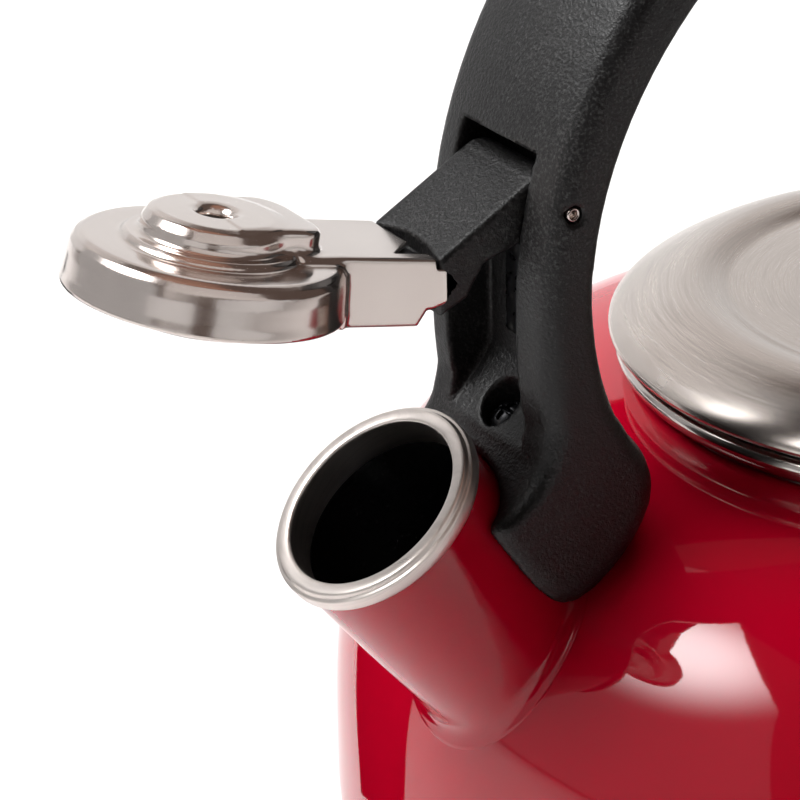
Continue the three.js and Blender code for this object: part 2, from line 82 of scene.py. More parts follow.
# Spout: a straight round tube with a rolled steel rim.
SPOUT_PITCH = 52 * DEG
SPOUT_RADIUS = 17.5
SPOUT_WALL = 1.3
SPOUT_HOLE_RADIUS = 14.6
SPOUT_HOLE_FROM = 18.0
SPOUT_HOLE_TO = 80.0
SPOUT_REACH = 62.0
SPOUT_FILLET = 2.6
SPOUT_LIP = 1.2
RIM_RADIUS = 18.5
RIM_LIP = 0.9
SPOUT_AXIS = np.array([-math.cos(SPOUT_PITCH), 0.0, math.sin(SPOUT_PITCH)])
SPOUT_SIDE = np.array([0.0, 1.0, 0.0])
SPOUT_UP = np.cross(SPOUT_AXIS, SPOUT_SIDE)
MOUTH = np.array([
    RING_LOW[0] + RIM_RADIUS * math.sin(SPOUT_PITCH) - RIM_LIP * math.cos(SPOUT_PITCH),
    0.0,
    RING_HIGH[2] - RIM_RADIUS * math.cos(SPOUT_PITCH) + RIM_LIP * math.sin(SPOUT_PITCH),
])

# Lid: a sheet with a raised lip round a shallow dish, and a plug ring that stands in the mouth.
LID_RIM_Z = 134.0
LID_SHEET = 0.75
DISH_DEPTH = 1.8
PLUG_RADIUS = 53.9
PLUG_FLANGE_Z = 131.9
FERRULE_DROP = 1.75
KNOB_BORE = 2.3
KNOB_BORE_DEPTH = 14.0

# Whistle cap: its own frame has +Z along the cap's normal and +X along the arm to the pivot.
CAP_TILT = 12.7 * DEG
CAP_ORIGIN = PIVOT + np.array([-54.5, 0.0, -6.2])
CAP_RADIUS = 21.4
CAP_HEIGHT = 8.0
CAP_SKIN = 0.8
ARM_HALF = 9.75


# ---------------------------------------------------------------- meshes
def add_mesh(name, verts, faces, materials, face_material=None):
    mesh = bpy.data.meshes.new(name)
    mesh.from_pydata((np.asarray(verts) * MM).tolist(), [], [list(map(int, f)) for f in faces])
    for material in materials:
        mesh.materials.append(material)
    if face_material is not None:
        mesh.polygons.foreach_set("material_index", np.asarray(face_material, np.int32))
    mesh.polygons.foreach_set("use_smooth", np.ones(len(mesh.polygons), bool))
    mesh.update()
    obj = bpy.data.objects.new(name, mesh)
    bpy.context.scene.collection.objects.link(obj)
    return obj


def grid_faces(rows, columns, close_rows=False):
    """Quads between rows of a grid whose columns wrap round."""
    faces = []
    last = rows if close_rows else rows - 1
    for i in range(last):
        a, b = i * columns, ((i + 1) % rows) * columns
        for j in range(columns):
            k = (j + 1) % columns
            faces.append((a + j, a + k, b + k, b + j))
    return faces


def resample(points, step, closed=False):
    """Points at even spacing along a polyline."""
    p = np.asarray(points, float)
    if closed:
        p = np.vstack([p, p[:1]])
    length = np.concatenate([[0], np.cumsum(np.hypot(*np.diff(p, axis=0).T))])
    count = max(2, int(round(length[-1] / step)) + 1)
    at = np.linspace(0, length[-1], count)
    out = np.stack([np.interp(at, length, p[:, k]) for k in range(p.shape[1])], 1)
    return out[:-1] if closed else out


def soften(points, rounds=3, closed=False):
    """Corner cutting: turns a control polygon into a soft curve that keeps its ends."""
    p = np.asarray(points, float)
    for _ in range(rounds):
        q = np.vstack([p, p[:1]]) if closed else p
        a = 0.75 * q[:-1] + 0.25 * q[1:]
        b = 0.25 * q[:-1] + 0.75 * q[1:]
        cut = np.stack([a, b], 1).reshape(-1, p.shape[1])
        p = cut if closed else np.vstack([p[:1], cut[1:-1], p[-1:]])
    return p


def sheet(points, thickness):
    """A closed section: the curve, and its offset to the right of travel, with round ends."""
    p = np.asarray(points, float)
    tangent = np.gradient(p, axis=0)
    tangent /= np.linalg.norm(tangent, axis=1)[:, None]
    normal = np.stack([tangent[:, 1], -tangent[:, 0]], 1)
    inner = p + normal * thickness
    ends = []
    for at, sign in ((-1, 1), (0, -1)):
        middle = (p[at] + inner[at]) / 2
        for turn in (45, 90, 135):
            c, s = math.cos(turn * DEG), math.sin(turn * DEG)
            side = -normal[at] if sign == 1 else normal[at]
            ends.append(middle + (side * c + sign * tangent[at] * s) * thickness / 2)
    return np.vstack([p, ends[:3], inner[::-1], ends[3:]])


def revolve(name, section, materials, segments=192, place=None, pick=None):
    """Turns a closed section of (radius, height) about the Z axis; a zero radius closes on a pole."""
    section = np.asarray(section, float)
    angle = np.linspace(0, 2 * math.pi, segments, endpoint=False)
    ring = np.stack([np.cos(angle), np.sin(angle)], 1)
    verts, rows = [], []
    for radius, height in section:
        rows.append(len(verts))
        if radius < 1e-6:
            verts.append((0.0, 0.0, height))
        else:
            verts.extend((radius * c, radius * s, height) for c, s in ring)
    faces, which = [], []
    count = len(section)
    for i in range(count):
        k = (i + 1) % count
        pole_a, pole_b = section[i][0] < 1e-6, section[k][0] < 1e-6
        if pole_a and pole_b:
            continue
        slot = 0 if pick is None else pick((section[i] + section[k]) / 2)
        for j in range(segments):
            m = (j + 1) % segments
            a, b = rows[i], rows[k]
            if pole_a:
                faces.append((a, b + m, b + j))
            elif pole_b:
                faces.append((a + j, a + m, b))
            else:
                faces.append((a + j, a + m, b + m, b + j))
            which.append(slot)
    verts = np.array(verts)
    area = 0.0
    for i in range(count):
        k = (i + 1) % count
        area += section[i][0] * section[k][1] - section[k][0] * section[i][1]
    if area < 0:
        faces = [tuple(reversed(f)) for f in faces]
    if place is not None:
        verts = place(verts)
    return add_mesh(name, verts, faces, materials, which)


def from_spout(p):
    """From the spout's frame, with +Z out of the mouth, to the kettle's."""
    return MOUTH + p[:, :1] * SPOUT_UP + p[:, 1:2] * SPOUT_SIDE + p[:, 2:] * SPOUT_AXIS


def from_cap(p):
    c, s = math.cos(CAP_TILT), math.sin(CAP_TILT)
    x = p[:, 0] * c + p[:, 2] * s
    z = -p[:, 0] * s + p[:, 2] * c
    return CAP_ORIGIN + np.stack([x, p[:, 1], z], 1)


# ---------------------------------------------------------------- distance fields
def outline_distance(points, x, z):
    """Signed distance to a closed outline, negative inside."""
    p = np.asarray(points, float)
    shape = np.broadcast(x, z).shape
    best = np.full(shape, 1e9)
    inside = np.zeros(shape, bool)
    for (x0, z0), (x1, z1) in zip(p, np.roll(p, -1, axis=0)):
        dx, dz = x1 - x0, z1 - z0
        t = np.clip(((x - x0) * dx + (z - z0) * dz) / (dx * dx + dz * dz), 0, 1)
        best = np.minimum(best, (x - x0 - t * dx) ** 2 + (z - z0 - t * dz) ** 2)
        if dz != 0:
            inside ^= ((z0 > z) != (z1 > z)) & (x < x0 + (z - z0) * dx / dz)
    return np.where(inside, -1, 1) * np.sqrt(best)


def slab(flat, across, half, round_edge):
    """An outline's distance given thickness, with rounded edges."""
    a = flat + round_edge
    b = np.abs(across) - half + round_edge
    return np.minimum(np.maximum(a, b), 0) + np.hypot(np.maximum(a, 0), np.maximum(b, 0)) - round_edge


def join(a, b, blend=0.0):
    if blend == 0:
        return np.minimum(a, b)
    h = np.maximum(blend - np.abs(a - b), 0) / blend
    return np.minimum(a, b) - h * h * blend / 4


def cut(a, b, blend=0.0):
    return -join(-a, b, blend)


def rod_distance(x, y, z, base, direction, radius, near, far):
    """A round bar along a direction, between two distances from its base."""
    dx, dy, dz = x - base[0], y - base[1], z - base[2]
    t = dx * direction[0] + dy * direction[1] + dz * direction[2]
    r = np.sqrt(np.maximum(dx * dx + dy * dy + dz * dz - t * t, 0)) - radius
    return np.maximum(r, np.maximum(near - t, t - far))


def body_distance(x, y, z):
    r = np.hypot(x, y)
    upper = z >= BELT_Z
    n = np.where(upper, SHOULDER_POWER, BELLY_POWER)
    half = np.where(upper, SHOULDER_RISE, BELLY_DROP)
    u = np.maximum(r / BODY_RADIUS, 1e-6)
    w = np.maximum(np.abs(z - BELT_Z) / half, 1e-6)
    g = (u ** n + w ** n) ** (1 / n)
    slope = g ** (1 - n) * np.hypot(u ** (n - 1) / BODY_RADIUS, w ** (n - 1) / half)
    return (g - 1) / slope


CORNERS = np.array([(i, j, k) for i in (0, 1) for j in (0, 1) for k in (0, 1)])
EDGES = [(a, b) for a in range(8) for b in range(a + 1, 8) if np.abs(CORNERS[a] - CORNERS[b]).sum() == 1]


def field_mesh(name, field, low, high, cell, materials, place=None, settle=2):
    """Surface nets over a distance field, then a few steps that settle the points onto its surface."""
    low, high = np.asarray(low, float), np.asarray(high, float)
    axes = [np.arange(a, b + cell, cell) for a, b in zip(low, high)]
    shape = tuple(len(a) for a in axes)
    values = np.broadcast_to(
        field(axes[0][:, None, None], axes[1][None, :, None], axes[2][None, None, :]), shape
    )
    inside = values < 0
    n = np.array(shape)
    count = np.zeros(n - 1, np.int8)
    for i, j, k in CORNERS:
        count += inside[i:n[0] - 1 + i, j:n[1] - 1 + j, k:n[2] - 1 + k]
    mixed = (count > 0) & (count < 8)
    cells = np.argwhere(mixed)
    number = np.full(n - 1, -1, np.int64)
    number[mixed] = np.arange(len(cells))
    at = cells[:, None, :] + CORNERS[None]
    corner_values = values[at[..., 0], at[..., 1], at[..., 2]]
    total = np.zeros((len(cells), 3))
    hits = np.zeros(len(cells))
    for a, b in EDGES:
        fa, fb = corner_values[:, a], corner_values[:, b]
        crossing = (fa < 0) != (fb < 0)
        t = np.where(crossing, fa / np.where(crossing, fa - fb, 1), 0)
        point = CORNERS[a] + t[:, None] * (CORNERS[b] - CORNERS[a])
        total += np.where(crossing[:, None], point, 0)
        hits += crossing
    verts = low + cell * (cells + total / hits[:, None])
    faces = []
    for axis in range(3):
        b, c = (axis + 1) % 3, (axis + 2) % 3
        first = [slice(None)] * 3
        second = [slice(None)] * 3
        first[axis], second[axis] = slice(0, -1), slice(1, None)
        changed = inside[tuple(first)] != inside[tuple(second)]
        spots = np.argwhere(changed)
        keep = np.ones(len(spots), bool)
        for other in (b, c):
            keep &= (spots[:, other] > 0) & (spots[:, other] < n[other] - 1)
        spots = spots[keep]
        eb, ec = np.eye(3, dtype=int)[b], np.eye(3, dtype=int)[c]
        quad = np.stack([number[tuple((spots - d).T)] for d in (0 * eb, eb, eb + ec, ec)], 1)
        flip = ~inside[tuple(spots.T)]
        quad[flip] = quad[flip][:, ::-1]
        faces.append(quad)
    faces = np.vstack(faces)
    h = 0.05 * cell
    for _ in range(settle):
        x, y, z = verts.T
        f = field(x, y, z)
        g = np.stack([
            field(x + h, y, z) - field(x - h, y, z),
            field(x, y + h, z) - field(x, y - h, z),
            field(x, y, z + h) - field(x, y, z - h),
        ], 1) / (2 * h)
        step = -g * (f / np.maximum((g * g).sum(1), 0.2))[:, None]
        size = np.linalg.norm(step, axis=1)
        verts += step * np.minimum(1, 0.4 * cell / np.maximum(size, 1e-9))[:, None]
    if place is not None:
        verts = place(verts)
    return add_mesh(name, verts, faces, materials)


# ---------------------------------------------------------------- materials
class Surface:
    """Small builder for node materials; everything is driven from object coordinates in metres."""

    def __init__(self, name, **inputs):
        self.material = bpy.data.materials.new(name)
        self.material.use_nodes = True
        self.tree = self.material.node_tree
        self.tree.nodes.clear()
        self.out = self.add("ShaderNodeOutputMaterial")
        self.shader = self.add("ShaderNodeBsdfPrincipled")
        self.link(self.shader.outputs["BSDF"], self.out.inputs["Surface"])
        self.coords = self.add("ShaderNodeTexCoord").outputs["Object"]
        for key, value in inputs.items():
            self.shader.inputs[key.replace("_", " ")].default_value = value

    def add(self, kind, **settings):
        node = self.tree.nodes.new(kind)
        for key, value in settings.items():
            setattr(node, key, value)
        return node

    def link(self, a, b):
        self.tree.links.new(a, b)

    def noise(self, scale, detail=2.0, vector=None, roughness=0.5):
        node = self.add("ShaderNodeTexNoise")
        node.inputs["Scale"].default_value = scale
        node.inputs["Detail"].default_value = detail
        node.inputs["Roughness"].default_value = roughness
        self.link(vector or self.coords, node.inputs["Vector"])
        return node.outputs["Fac"]

    def ramp(self, value, stops):
        node = self.add("ShaderNodeValToRGB")
        ramp = node.color_ramp
        ramp.elements[0].position, ramp.elements[0].color = stops[0][0], (*stops[0][1], 1)
        ramp.elements[1].position, ramp.elements[1].color = stops[-1][0], (*stops[-1][1], 1)
        for position, color in stops[1:-1]:
            ramp.elements.new(position).color = (*color, 1)
        self.link(value, node.inputs["Fac"])
        return node.outputs["Color"]

    def span(self, value, low, high, start=0.3, end=0.7):
        node = self.add("ShaderNodeMapRange")
        for key, number in (("From Min", start), ("From Max", end), ("To Min", low), ("To Max", high)):
            node.inputs[key].default_value = number
        self.link(value, node.inputs["Value"])
        return node.outputs["Result"]

    def math(self, operation, a, b=None):
        node = self.add("ShaderNodeMath", operation=operation)
        for socket, value in zip(node.inputs, (a, b)):
            if value is None:
                continue
            if isinstance(value, (int, float)):
                socket.default_value = value
            else:
                self.link(value, socket)
        return node.outputs[0]

    def color(self, value):
        self.link(value, self.shader.inputs["Base Color"])

    def roughness(self, value):
        self.link(value, self.shader.inputs["Roughness"])

    def bump(self, height, strength, distance, previous=None):
        node = self.add("ShaderNodeBump")
        node.inputs["Strength"].default_value = strength
        node.inputs["Distance"].default_value = distance
        self.link(height, node.inputs["Height"])
        if previous is not None:
            self.link(previous, node.inputs["Normal"])
        self.link(node.outputs["Normal"], self.shader.inputs["Normal"])
        return node.outputs["Normal"]

    def turned_coords(self, across, along):
        """Coordinates that run round the Z axis, so that noise drawn in them makes turned streaks."""
        split = self.add("ShaderNodeSeparateXYZ")
        self.link(self.coords, split.inputs[0])
        x, y, height = (split.outputs[axis] for axis in "XYZ")
        radius = self.math("SQRT", self.math("ADD", self.math("MULTIPLY", x, x), self.math("MULTIPLY", y, y)))
        safe = self.math("MAXIMUM", radius, 1e-4)
        joined = self.add("ShaderNodeCombineXYZ")
        self.link(self.math("MULTIPLY", self.math("ADD", radius, height), across), joined.inputs["X"])
        self.link(self.math("MULTIPLY", self.math("DIVIDE", x, safe), along), joined.inputs["Y"])
        self.link(self.math("MULTIPLY", self.math("DIVIDE", y, safe), along), joined.inputs["Z"])
        return joined.outputs[0]


def red_enamel():
    s = Surface("red_enamel_gloss", Roughness=0.035, IOR=1.52)
    depth = s.noise(9, 4)
    s.color(s.ramp(depth, [
        (0.3, (0.36, 0.0005, 0.012)),
        (0.5, (0.41, 0.0008, 0.015)),
        (0.7, (0.46, 0.001, 0.018)),
    ]))
    wave = s.bump(s.noise(24, 1.5), 0.06, 0.001)
    s.bump(s.noise(900, 2), 0.008, 0.0003, wave)
    return s.material


def black_enamel():
    s = Surface("black_enamel", Roughness=0.22, Coat_Weight=0.5, Coat_Roughness=0.08)
    grain = s.noise(1400, 2)
    s.color(s.ramp(grain, [
        (0.35, (0.004, 0.004, 0.0045)),
        (0.62, (0.009, 0.009, 0.01)),
        (0.75, (0.03, 0.03, 0.032)),
    ]))
    s.bump(s.noise(160, 3), 0.08, 0.0006)
    return s.material


STREAK_SHADE = 0.12
STREAK_SHINE = 0.07


def turned_steel(name, tint, low, high, across, bump, contrast=1.0):
    """Steel brushed on a lathe: fine streaks round the axis, with a slow change of tone."""
    s = Surface(name, Metallic=1.0, Anisotropic=0.3)
    tangent = s.add("ShaderNodeTangent", direction_type="RADIAL", axis="Z")
    s.link(tangent.outputs[0], s.shader.inputs["Tangent"])
    fine = s.noise(1.0, 2, s.turned_coords(across, 4.0), 0.6)
    slow = s.noise(1.0, 2, s.turned_coords(across / 12, 1.5))
    mixed = s.math("ADD", s.math("MULTIPLY", fine, 0.7), s.math("MULTIPLY", slow, 0.3))
    dark = tuple((1 - STREAK_SHADE * contrast) * t for t in tint)
    light = tuple(min(1.0, (1 + STREAK_SHINE * contrast) * t) for t in tint)
    s.color(s.ramp(mixed, [(0.32, dark), (0.5, tint), (0.68, light)]))
    s.roughness(s.span(mixed, low, high))
    s.bump(fine, bump, 0.0003)
    return s.material


def polished_steel():
    s = Surface("polished_steel_press", Metallic=1.0)
    haze = s.noise(60, 4)
    scuff = s.noise(700, 3)
    s.color(s.ramp(haze, [(0.3, (0.66, 0.585, 0.55)), (0.7, (0.73, 0.655, 0.615))]))
    mixed = s.math("ADD", s.math("MULTIPLY", haze, 0.6), s.math("MULTIPLY", scuff, 0.4))
    s.roughness(s.span(mixed, 0.13, 0.20))
    wave = s.bump(s.noise(45, 1.5), 0.05, 0.0006)
    s.bump(scuff, 0.01, 0.0002, wave)
    return s.material


def black_nylon():
    s = Surface("black_nylon_grain", Roughness=0.5, IOR=1.46)
    fine = s.noise(1900, 2, roughness=0.6)
    patch = s.noise(35, 3)
    mixed = s.math("ADD", s.math("MULTIPLY", fine, 0.75), s.math("MULTIPLY", patch, 0.25))
    s.color(s.ramp(mixed, [
        (0.36, (0.0028, 0.0025, 0.0026)),
        (0.53, (0.0064, 0.0058, 0.0059)),
        (0.66, (0.040, 0.039, 0.039)),
    ]))
    s.roughness(s.span(mixed, 0.36, 0.54))
    s.bump(s.noise(1700, 2, roughness=0.6), 0.6, 0.00028)
    return s.material


def blackened_steel():
    s = Surface("blackened_steel", Metallic=0.85)
    wear = s.noise(420, 3)
    s.color(s.ramp(wear, [
        (0.35, (0.012, 0.012, 0.013)),
        (0.6, (0.03, 0.03, 0.032)),
        (0.75, (0.10, 0.095, 0.09)),
    ]))
    s.roughness(s.span(wear, 0.22, 0.4))
    s.bump(wear, 0.12, 0.0002)
    return s.material


def pale_floor():
    s = Surface("pale_floor", Roughness=0.6)
    tone = s.noise(1.5, 3)
    s.color(s.ramp(tone, [(0.3, (0.80, 0.80, 0.80)), (0.7, (0.84, 0.84, 0.84))]))
    return s.material


RED = red_enamel()
BLACK_ENAMEL = black_enamel()
LID_STEEL = turned_steel("turned_steel_lid", (0.61, 0.545, 0.505), 0.21, 0.29, 5600, 0.026, 1.1)
COLLAR_STEEL = turned_steel("turned_steel_collar", (0.61, 0.56, 0.53), 0.13, 0.20, 3600, 0.008, 0.5)
SATIN_STEEL = turned_steel("turned_steel_satin", (0.58, 0.54, 0.51), 0.22, 0.34, 4200, 0.06)
RING_STEEL = turned_steel("rolled_steel_rim", (0.66, 0.60, 0.565), 0.27, 0.36, 3000, 0.04)
POLISHED = polished_steel()
NYLON = black_nylon()
BLACK_STEEL = blackened_steel()


def finish_piece(obj, body, node):
    """Attaches a piece to its body, in place of its CAD node."""
    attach(obj, body)
    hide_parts(node)


# ---------------------------------------------------------------- body, base and mouth
def shoulder_curve(offset, end_radius):
    radius, rise, power = BODY_RADIUS + offset, SHOULDER_RISE + offset, 2 / SHOULDER_POWER
    last = math.acos((end_radius / radius) ** (1 / power))
    t = np.linspace(0, last, 1500)
    return np.stack([radius * np.cos(t) ** power, BELT_Z + rise * np.sin(t) ** power], 1)


def belly_curve(offset):
    radius, drop, power = BODY_RADIUS + offset, BELLY_DROP + offset, 2 / BELLY_POWER
    first = math.acos(((FOOT_RADIUS + offset) / radius) ** (1 / power))
    t = np.linspace(first, 0, 900)
    return np.stack([radius * np.cos(t) ** power, BELT_Z - drop * np.sin(t) ** power], 1)


def body_piece():
    def wall(offset, step):
        return resample(np.vstack([belly_curve(offset), shoulder_curve(offset, MOUTH_RADIUS)[1:]]), step)

    section = np.vstack([wall(0, 1.4), wall(-BODY_WALL, 3.0)[::-1]])

    def pick(middle):
        return 1 if body_distance(middle[0], 0.0, middle[1]) < -0.5 * BODY_WALL else 0

    obj = revolve("kettle_body_enamel", section, [RED, BLACK_ENAMEL], 320, pick=pick)
    bar = [
        (0, -SPOUT_HOLE_TO), (SPOUT_HOLE_RADIUS, -SPOUT_HOLE_TO),
        (SPOUT_HOLE_RADIUS, -SPOUT_HOLE_FROM), (0, -SPOUT_HOLE_FROM),
    ]
    drill = revolve("spout_hole_drill", bar, [BLACK_ENAMEL], 64, from_spout)
    hole = obj.modifiers.new("spout_hole", "BOOLEAN")
    hole.operation = "DIFFERENCE"
    hole.object = drill
    hole.solver = "EXACT"
    bpy.context.view_layer.update()
    depsgraph = bpy.context.evaluated_depsgraph_get()
    mesh = bpy.data.meshes.new_from_object(obj.evaluated_get(depsgraph))
    obj.modifiers.clear()
    obj.data = mesh
    bpy.data.objects.remove(drill)
    for face in mesh.polygons:
        away = np.array(face.center) / MM - MOUTH
        along = away @ SPOUT_AXIS
        if along > -SPOUT_REACH and np.linalg.norm(away - along * SPOUT_AXIS) < SPOUT_RADIUS - 0.2:
            face.material_index = 1
    finish_piece(obj, "kettle", "body_shell")


def spout_piece():
    """The tube, flared by a small weld fillet where it meets the shoulder."""
    columns = 160
    fillet = SPOUT_FILLET
    angle = np.linspace(0, 2 * math.pi, columns, endpoint=False)
    spoke = np.outer(np.cos(angle), SPOUT_UP) + np.outer(np.sin(angle), SPOUT_SIDE)

    def point(radius, depth):
        return MOUTH + spoke * np.reshape(radius, (-1, 1)) - np.reshape(depth, (-1, 1)) * SPOUT_AXIS

    def depth_at(radius, level):
        low, high = np.full(columns, 10.0), np.full(columns, SPOUT_REACH)
        for _ in range(40):
            middle = (low + high) / 2
            far = body_distance(*point(np.full(columns, radius), middle).T) > level
            low, high = np.where(far, middle, low), np.where(far, high, middle)
        return (low + high) / 2

    meet = depth_at(SPOUT_RADIUS, 0.0)
    start = point(SPOUT_RADIUS, meet - fillet)
    corner = point(SPOUT_RADIUS, meet)
    toe_radius = SPOUT_RADIUS + fillet * 0.9
    toe = point(toe_radius, depth_at(toe_radius, 0.0))
    rows = []
    for part in np.linspace(0, 1, 30):
        rows.append(point(SPOUT_RADIUS, SPOUT_LIP + (meet - fillet - SPOUT_LIP) * part))
    for t in np.linspace(0, 1, 10)[1:]:
        rows.append((1 - t) ** 2 * start + 2 * t * (1 - t) * corner + t * t * toe)
    rows.append(point(toe_radius, depth_at(toe_radius, -0.5)))
    bore = SPOUT_RADIUS - SPOUT_WALL
    inner_end = depth_at(bore, -0.3)
    outer_rows = len(rows)
    for part in np.linspace(1, 0, 24):
        rows.append(point(bore, SPOUT_LIP + (inner_end - SPOUT_LIP) * part))
    faces = grid_faces(len(rows), columns, close_rows=True)
    which = [0 if i < (outer_rows - 1) * columns else 1 for i in range(len(faces))]
    faces = [tuple(reversed(f)) for f in faces]
    obj = add_mesh("spout_tube_enamel", np.vstack(rows), faces, [RED, BLACK_ENAMEL], which)
    finish_piece(obj, "kettle", "spout_tube")


def rim_piece():
    curve = soften([
        (15.2, -6.0), (15.2, -2.6), (15.2, -0.8), (15.25, -0.25), (15.6, -0.02), (16.4, 0.05), (17.1, 0.03),
        (17.55, -0.08), (17.75, -0.4), (17.8, -0.75), (18.1, -0.85), (18.42, -0.95),
        (RIM_RADIUS, -1.3), (RIM_RADIUS, -2.9),
    ], 2)
    obj = revolve("spout_rolled_rim", sheet(curve, 0.5), [RING_STEEL], 192, from_spout)
    finish_piece(obj, "kettle", "spout_rim_ring")


def collar_piece():
    top = COLLAR_HIGH[2]
    outer = COLLAR_HIGH[0]
    curve = soften([
        (54.5, COLLAR_LOW[2]), (54.5, top - 3), (54.6, top - 0.8), (55.6, top), (57.5, top - 0.1),
        (outer - 1.6, top), (outer - 0.5, top - 0.4), (outer, top - 1.5), (outer - 0.3, top - 2.6),
        (outer - 1.2, top - 3.6), (outer - 2.0, top - 4.4),
    ], 3)
    obj = revolve("mouth_collar_steel", sheet(curve, 0.8), [COLLAR_STEEL], 192)
    finish_piece(obj, "kettle", "mouth_collar_ring")


def pan_piece():
    radius, top = PAN_HIGH[0], PAN_HIGH[2]
    section = soften([
        (0, 0), (radius - 3, 0), (radius - 0.8, 0.1), (radius, 1.2), (radius, top - 0.6), (radius - 0.5, top),
        (radius - 0.9, top), (radius - 1.3, top - 0.8), (radius - 1.3, 3.2), (radius - 2.4, 1.9), (0, 1.7),
    ], 3)
    obj = revolve("base_pan_steel", section, [SATIN_STEEL], 160)
    finish_piece(obj, "kettle", "base_pan")


# ---------------------------------------------------------------- lid
def lid_piece():
    rim, lip = LID_RIM_Z, LID_HIGH[2]
    dish = lip - DISH_DEPTH
    curve = soften([
        (2.5, dish), (30, dish), (38.5, dish), (40.2, dish), (41.2, dish + 0.25), (43.4, dish + 1.2),
        (45.6, lip - 0.1), (48.2, lip - 0.12), (51.2, lip - 1.0), (54.8, lip - 2.75), (58.4, lip - 4.95),
        (60.1, lip - 6.3),
        (61.15, rim + 0.8), (61.3, rim + 0.3), (61.35, rim - 0.3), (60.9, rim - 0.9),
    ], 3)
    obj = revolve("lid_brushed_steel", sheet(curve, LID_SHEET), [LID_STEEL], 256)
    finish_piece(obj, "lid", "lid_shell")


def plug_piece():
    outer, bottom, top = PLUG_RADIUS, PLUG_BOTTOM, PLUG_FLANGE_Z
    curve = soften([
        (57.9, top + 0.85), (56, top + 0.85), (outer + 0.5, top + 0.8), (outer, top - 0.5),
        (outer, bottom + 3), (outer, bottom + 0.8), (outer - 0.6, bottom),
    ], 2)
    obj = revolve("lid_plug_steel", sheet(curve, 0.7), [SATIN_STEEL], 160)
    finish_piece(obj, "lid", "lid_plug_ring")


def knob_pieces():
    base, top, radius = KNOB_LOW[2], KNOB_HIGH[2], KNOB_HIGH[0]
    outer = soften([
        (KNOB_BORE, base), (8.6, base), (9.0, base + 0.7), (8.4, base + 2.5), (7.0, base + 6),
        (7.3, base + 9.5), (10.5, base + 12.2), (15.4, base + 15), (radius, base + 18.2),
        (radius - 0.6, base + 22.4), (radius - 4.5, top - 1.4), (6, top), (0, top),
    ], 3)
    bore_top = base + KNOB_BORE_DEPTH
    section = np.vstack([outer, [(0, bore_top), (KNOB_BORE, bore_top)]])
    knob = revolve("lid_knob_nylon", section, [NYLON], 128)
    finish_piece(knob, "lid", "lid_knob")
    low = LID_HIGH[2] - FERRULE_DROP
    band = soften([
        (2.5, low), (10.6, low), (11.0, low + 0.2), (10.6, low + 0.6), (9.6, low + 0.7), (2.5, low + 0.7),
    ], 3, True)
    ferrule = revolve("knob_ferrule_steel", band, [SATIN_STEEL], 96)
    finish_piece(ferrule, "lid", "knob_ferrule")


body_piece()
spout_piece()
rim_piece()
collar_piece()
pan_piece()
lid_piece()
plug_piece()
knob_pieces()


# ---------------------------------------------------------------- handle
# The arch is two half ellipses on a common centre line; its outer face is crowned above the feet.
SPRING_Z = 165.0
OUTER_REACH = (98.4, 87.0)
INNER_REACH = (89.2, 73.0)
HANDLE_HALF = 18.0
HANDLE_CELL = 0.75
CROWN = 1.9
CROWN_DEPTH = 9.0
CROWN_FROM_Z = 139.0
CROWN_RISE = 12.0
EDGE_ROUND = 3.4
FOOT_EDGE_ROUND = 2.2
FOOT_EDGE_FADE = 8.0
SLOT_HALF = 10.15
PIN_HOLE_RADIUS = 1.55
GRIP_ANGLES = (48, 90, 132)
GRIP_SPAN = (28, 152)
GRIP_WALL = 3.2
GRIP_ROOF = (70, 54)
COVER_THICK = 2.6
CAVITY_HALF = 14.5
FOOT_SCREW_X = 95.0
FOOT_SCREW_Z = 142.5
FOOT_SCREW_LEAN = 24 * DEG
FOOT_WELL_RADIUS = 3.95

# Each foot in plan of its side: it swells sideways below the waist of the leg.
FOOT_CROWN = 8.0
FOOT_CROWN_FROM = 146.0
FOOT_CROWN_FULL = 127.0
FOOT_SIDE_ROUND = 2.6


def arc(reach, start, end, steps=64):
    t = np.linspace(start, end, steps) * DEG
    return [(reach[0] * math.cos(a), SPRING_Z + reach[1] * math.sin(a)) for a in t]


def bend(a, control, b, steps=8):
    t = np.linspace(0, 1, steps)[1:, None]
    return ((1 - t) ** 2 * np.array(a) + 2 * t * (1 - t) * np.array(control) + t * t * np.array(b)).tolist()


def handle_outline():
    points = arc(OUTER_REACH, 180, 0)
    points += bend(points[-1], (96.8, 140), (101.5, 121))
    points += [(106, 118), (106, 106), (69, 106), (69, 122), (71.5, 130), (77, 138)]
    points += [(84.6, 144.6)] + bend((84.6, 144.6), (88.5, 153), (89.2, 165))
    points += arc(INNER_REACH, 0, 180)[1:]
    points += bend((-89.2, 165), (-88.5, 153), (-84.6, 144.6))
    points += [(-77, 138), (-71.5, 130), (-69, 122), (-69, 108), (-90, 108)]
    points += [(-99, 116), (-107.3, 128.6), (-108.5, 130.4), (-108.3, 131.9), (-106.8, 132.3)]
    points += bend((-106.8, 132.3), (-101.2, 134.6), (-98.9, 140.2)) + [(-98.0, 143.5)]
    points += bend((-97.4, 142.5), (-98.4, 152), (-98.4, 165))[:-1]
    return points


HANDLE_OUTLINE = handle_outline()
OUTER_FACE = arc(OUTER_REACH, 180, 0) + [(96.8, 140), (70, 140), (-70, 140), (-97.4, 142.5)]
SLOT_OUTLINE = [
    (-125, 190.5), (-96.5, 189.2), (-88.7, 188), (-88.9, 178), (-91, 172), (-91, 150), (-93.5, 146.4),
    (-99.2, 140), (-125, 128),
]


def grip_strip(inner, outer, trim):
    a, b = GRIP_SPAN[0] + trim, GRIP_SPAN[1] - trim
    return arc(outer, a, b) + arc(inner, b, a)


